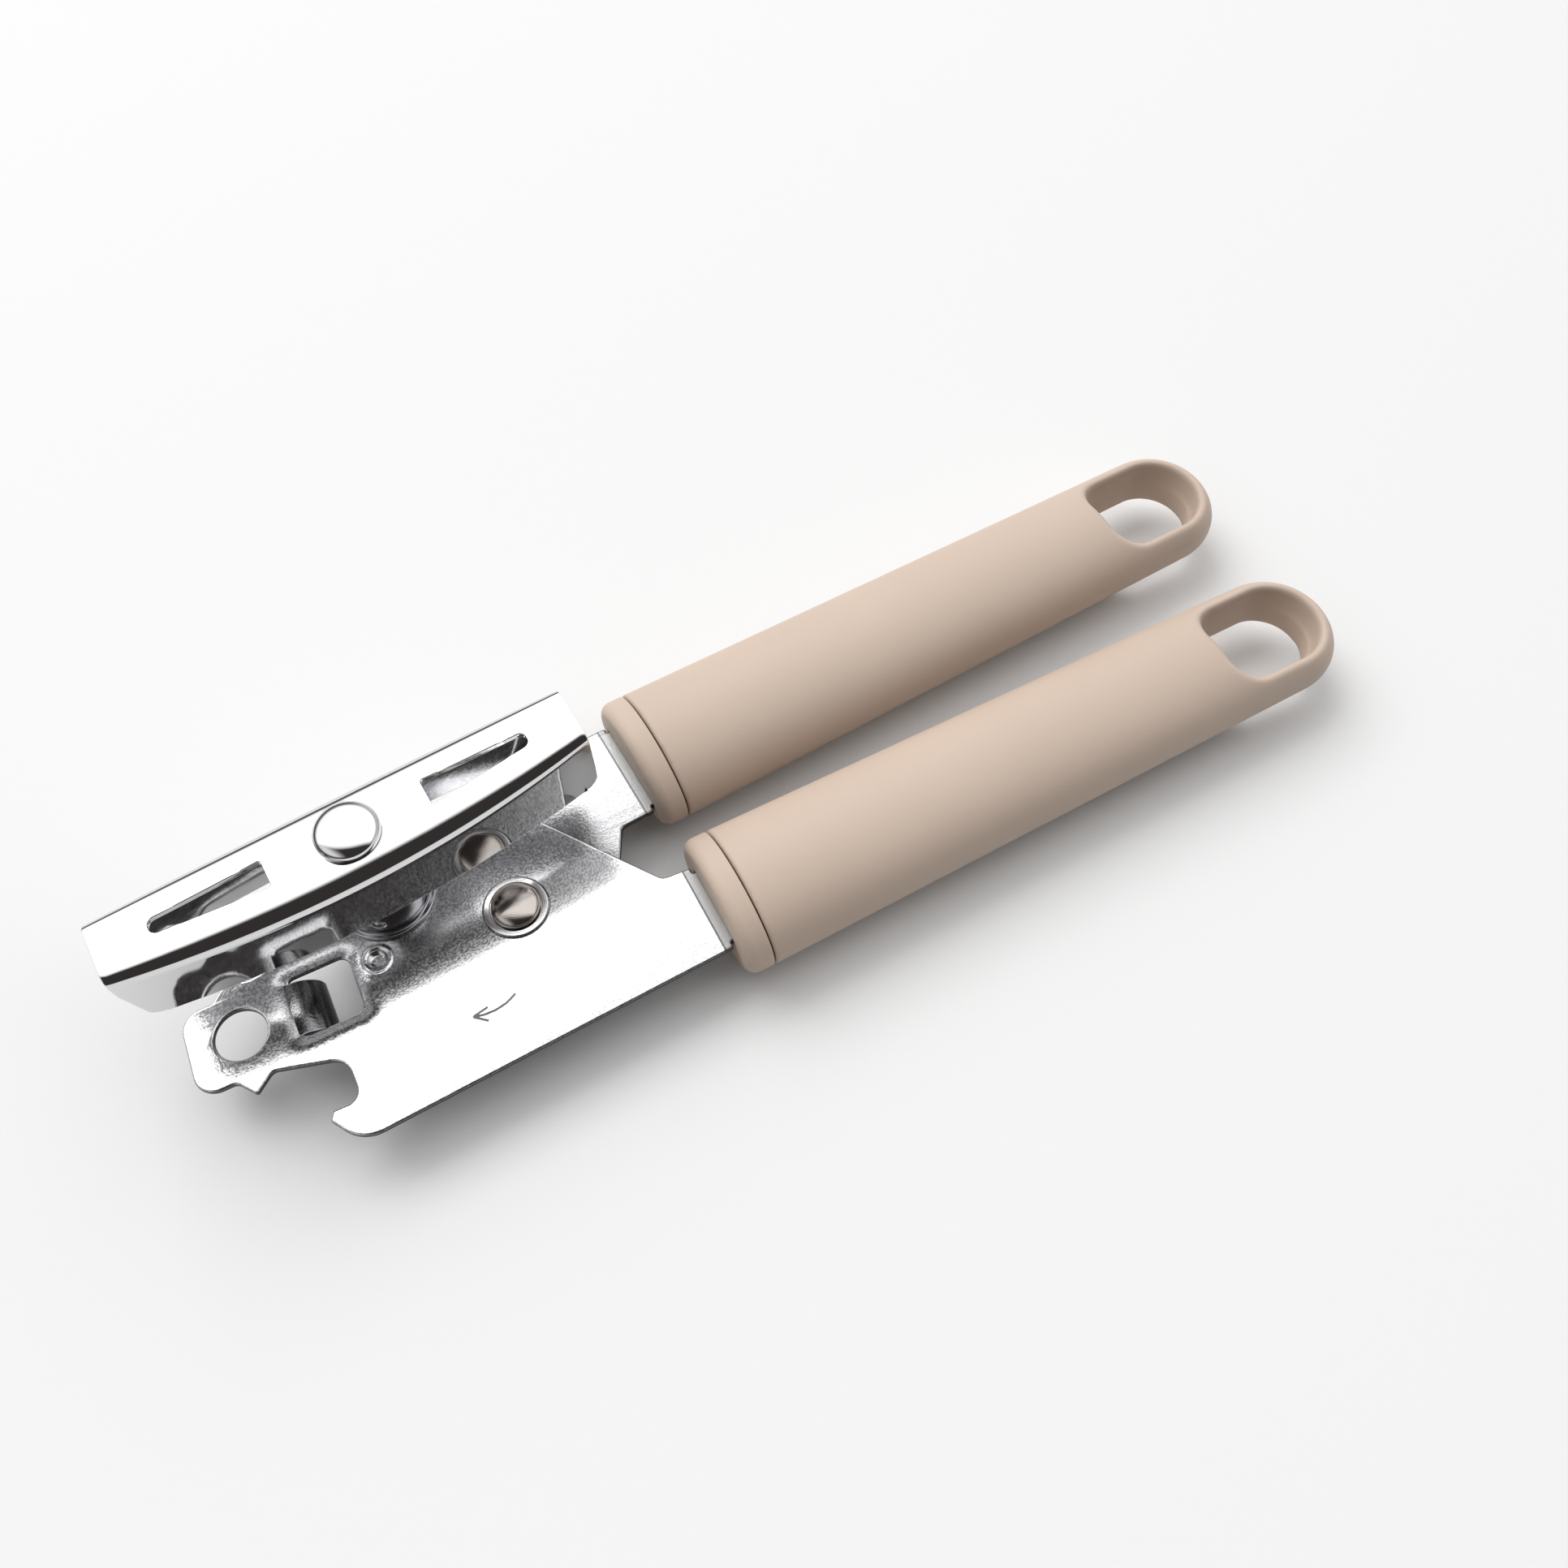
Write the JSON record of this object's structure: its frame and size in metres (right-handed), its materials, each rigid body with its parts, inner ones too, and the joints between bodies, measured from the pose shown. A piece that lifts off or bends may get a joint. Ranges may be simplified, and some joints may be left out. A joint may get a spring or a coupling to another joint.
{
  "type": "can opener",
  "caption": "Hand can opener: two pivoted steel plates with moulded plastic grips, a folded metal butterfly key that turns a serrated feed wheel, a cutter wheel and a bottle-cap hook.",
  "frame": {"origin": "on the lever pivot's axis, at the flat tail face of the pivot rivet", "axes": "+X from the pivot toward the grips, +Y from the lower lever toward the upper lever, +Z out of the front plate toward the turning key"},
  "size_m": [0.2019, 0.0597, 0.0331],
  "materials": {
    "plated_plate": "satin plated sheet steel",
    "bright_rivet": "bright plated",
    "dark_boss": "polished, ring-textured top",
    "key_chrome": "mirror chrome",
    "plain_steel": "turned steel",
    "beige_plastic": "fine matte"
  },
  "bodies": {
    "lower_lever": {"front_plate": "plated_plate", "pivot_rivet": "bright_rivet", "pivot_front_washer": "bright_rivet", "pivot_rear_washer": "plain_steel", "shaft_bushing": "dark_boss", "lower_cap": "beige_plastic", "lower_grip": "beige_plastic"},
    "upper_lever": {"rear_plate": "plated_plate", "cutter_axle": "plain_steel", "cutter_spacer": "plain_steel", "cutter_washer": "plain_steel", "upper_cap": "beige_plastic", "upper_grip": "beige_plastic"},
    "key": {"drive_shaft": "key_chrome", "turning_key": "key_chrome", "key_collar": "plain_steel", "feed_washer": "plain_steel", "feed_wheel": "plain_steel", "feed_nut": "plain_steel"},
    "cutter": {"cutter_wheel": "plain_steel"}
  },
  "joints": [
    {"name": "lever_pivot", "type": "hinge", "parent": "lower_lever", "child": "upper_lever", "pos_m": [0, 0, 0.0032], "axis": [0, 0, 1], "range_deg": [0, 50]},
    {"name": "key_spin", "type": "hinge", "parent": "lower_lever", "child": "key", "pos_m": [-0.0173, 0.0112, 0.005], "axis": [0, 0, 1], "continuous": true},
    {"name": "cutter_spin", "type": "hinge", "parent": "upper_lever", "child": "cutter", "pos_m": [-0.0175, -0.0041, -0.003], "axis": [0, 0, 1], "continuous": true}
  ]
}
